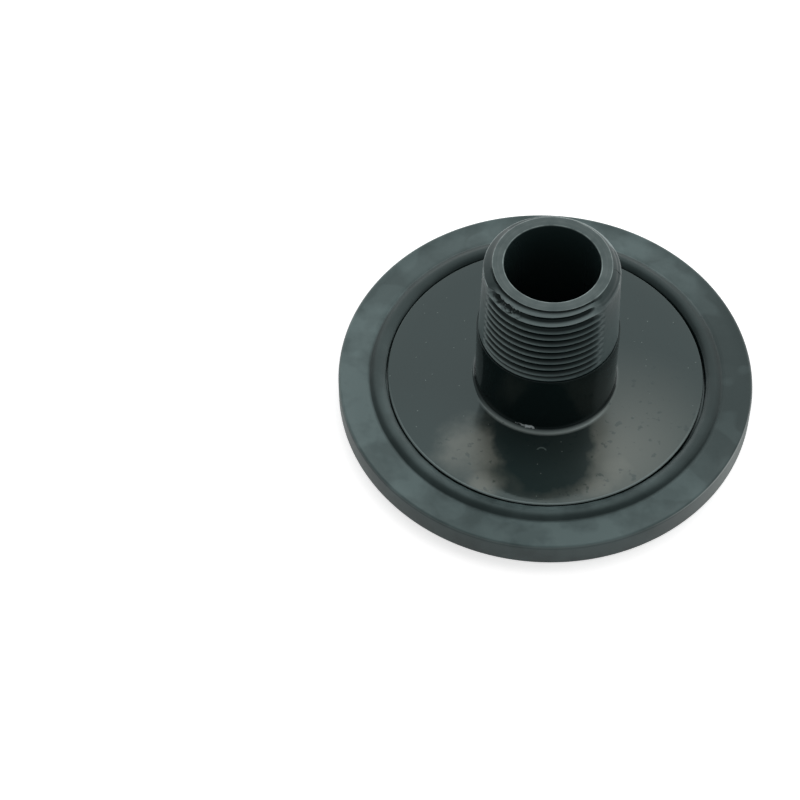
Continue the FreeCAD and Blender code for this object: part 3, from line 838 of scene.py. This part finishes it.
# %% Cap face
# Rings round a hole: share of the way from the sector's edge to the hole, the hole's radius, level
OUTSIDE_RINGS = [(share, HOLE_R + 0.3, 0.0) for share in (0, 0.4, 0.75, 1)]
EDGE_RINGS = [(1, HOLE_R + 0.15, 0.0), (1, HOLE_R + 0.04, 0.04), (1, HOLE_R, 0.15), (1, HOLE_R, SEAT)]
INSIDE_RINGS = [(share, HOLE_R + 0.2, SEAT) for share in (0.75, 0.4, 0)]
SECTOR_ENDS = 8


def hole_sector(index):
    """Rings round one hole: in over the outside of the face from the sector's edge to the hole, up the
    hole's wall, and out again over the inside. Each ring is a blend of the edge and the hole's circle."""
    half = math.pi / HOLES
    corners = np.array([(OUTER_R, -half), (OUTER_R, half), (INNER_R, half), (INNER_R, -half)])
    sides = zip(corners, np.roll(corners, -1, 0), (SECTOR_SIDE, SECTOR_ENDS) * 2)
    edge = np.concatenate([a + (b - a) * (np.arange(n) / n)[:, None] for a, b, n in sides])
    ex, ey = edge[:, 0] * np.cos(edge[:, 1]), edge[:, 0] * np.sin(edge[:, 1])
    around = np.arctan2(ey, ex - HOLE_CIRCLE_R)
    rings = []
    for share, radius, level in OUTSIDE_RINGS + EDGE_RINGS + INSIDE_RINGS:
        x = ex + (HOLE_CIRCLE_R + radius * np.cos(around) - ex) * share
        y = ey + (radius * np.sin(around) - ey) * share
        rings.append(np.stack([x, y, level + 0 * ex], -1))
    c, s = math.cos(2 * half * index), math.sin(2 * half * index)
    turn = np.array([[c, s, 0], [-s, c, 0], [0, 0, 1]])
    return np.stack(rings) @ turn, ring_faces(len(rings), len(edge))


# %% Cap mesh
FACE_RING_HALF, FACE_RING_DEPTH, FACE_RING_ROUND = 0.25, 0.25, 0.08


def make_cap():
    """Channel, ten hole sectors, the middle of the face with its fine sunk ring, and its plain inside."""
    middle = rounded([
        (INNER_R, 0.0, 0.0),
        (FACE_RING_R + FACE_RING_HALF, 0.0, FACE_RING_ROUND),
        (FACE_RING_R + FACE_RING_HALF, FACE_RING_DEPTH, 0.0),
        (FACE_RING_R - FACE_RING_HALF, FACE_RING_DEPTH, 0.0),
        (FACE_RING_R - FACE_RING_HALF, 0.0, FACE_RING_ROUND),
        (0.0, 0.0, 0.0),
    ])
    inside = np.array([(0.0, SEAT), (INNER_R, SEAT)])
    middle, inside = (turned(densify(row, step=4.0), cap_angles) for row in (middle, inside))
    grids = [(part, ring_faces(len(part), cap_columns)) for part in (cap_channel(), middle, inside)]
    grids += [hole_sector(i) for i in range(HOLES)]
    return make_piece("cap_membrane", grids, EPDM, smooth_angle=50.0)


cap = make_cap()
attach(cap, "root")
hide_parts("cap")

# %% [markdown]
# ## Floor, light and camera
#
# The table is a pale painted sheet. The camera and glossy reflections see it close to white, by a
# glow that lights nothing else, while the object still gets its soft shadow. The light is a dim white
# room, one large softbox above and behind the object, which the polished plate mirrors, and a low
# wide lamp behind it, which lights the steep far sides.

# %% Floor
FLOOR_HALF = 3.0


def white_table():
    """Pale matt sheet that the camera and glossy rays see nearly white."""
    material, tree = new_material("white_table_paint")
    path = add(tree, "LightPath").outputs
    paint = add(tree, "BsdfDiffuse", {"Color": linear("#f4f4f4")})
    glow = add(tree, "Emission", {"Strength": 0.55})
    both = add(tree, "AddShader", {0: paint, 1: glow})
    seen = add(tree, "Math", {0: path["Is Camera Ray"], 1: path["Is Glossy Ray"]}, operation="MAXIMUM")
    pick = add(tree, "MixShader", {0: seen, 1: paint, 2: both})
    add(tree, "OutputMaterial", {"Surface": pick})
    return material


floor_corners = [(x * FLOOR_HALF, y * FLOOR_HALF, 0) for x, y in ((-1, -1), (1, -1), (1, 1), (-1, 1))]
floor_mesh = bpy.data.meshes.new("floor")
floor_mesh.from_pydata(floor_corners, [], [(0, 1, 2, 3)])
floor_mesh.materials.append(white_table())
floor = bpy.data.objects.new("floor", floor_mesh)
bpy.context.scene.collection.objects.link(floor)

# %% Room and lamps
world = bpy.data.worlds.new("white_room")
bpy.context.scene.world = world
world.use_nodes = True
world.node_tree.nodes.clear()
sky = add(world.node_tree, "Background", {"Color": (1.0, 1.0, 1.0, 1.0), "Strength": 0.42})
add(world.node_tree, "OutputWorld", {"Surface": sky})


def area_lamp(name, size, watts, place):
    """Rectangular lamp, its size and place in metres, turned so that it faces the origin."""
    light = bpy.data.lights.new(name, "AREA")
    light.shape = "RECTANGLE"
    light.size, light.size_y = size
    light.energy = watts
    lamp = bpy.data.objects.new(name, light)
    lamp.location = place
    lamp.rotation_euler = (-lamp.location).to_track_quat("-Z", "Y").to_euler()
    bpy.context.scene.collection.objects.link(lamp)
    print("lamp", name, watts, "watts,", round(lamp.location.length, 2), "m away")


area_lamp("softbox", (3.6, 1.5), 20.0, (0.25, 0.85, 1.05))
area_lamp("backdrop", (4.5, 0.6), 12.0, (0.0, 1.2, 0.32))
bpy.context.scene.view_settings.view_transform = "Standard"

# %% [markdown]
# The camera stands where the picture's lines meet: its height and distance come from the circles of
# the plate, the rim and the air way, which look flatter or rounder with the camera's height. It faces
# the origin, and is then turned a little, so that the object sits right of the middle.

# %% Camera
ELEVATION = math.radians(54.0)
DISTANCE = 528.2 * MM
YAW, TILT, ROLL = math.radians(-3.1105), math.radians(-0.4447), math.radians(3.8291)
FOCAL_PX, PICTURE_PX = 2632.8, 800
SENSOR_WIDTH = 36.0


def swung(a, b, angle):
    """Both unit vectors turned in their own plane: cos a + sin b, and cos b - sin a."""
    return math.cos(angle) * a + math.sin(angle) * b, math.cos(angle) * b - math.sin(angle) * a


stand = Vector((0, -math.cos(ELEVATION), math.sin(ELEVATION))) * DISTANCE
forward, right = -stand.normalized(), Vector((1, 0, 0))
up = right.cross(forward)
forward, right = swung(forward, right, YAW)
forward, up = swung(forward, up, TILT)
right, up = swung(right, up, ROLL)
camera_data = bpy.data.cameras.new("camera")
camera_data.sensor_width = SENSOR_WIDTH
camera_data.lens = FOCAL_PX / PICTURE_PX * SENSOR_WIDTH
camera = bpy.data.objects.new("camera", camera_data)
turn = Matrix((right, up, -forward)).transposed().to_4x4()
camera.matrix_world = Matrix.Translation(stand) @ turn
bpy.context.scene.collection.objects.link(camera)
bpy.context.scene.camera = camera
print("lens", round(camera_data.lens, 2))
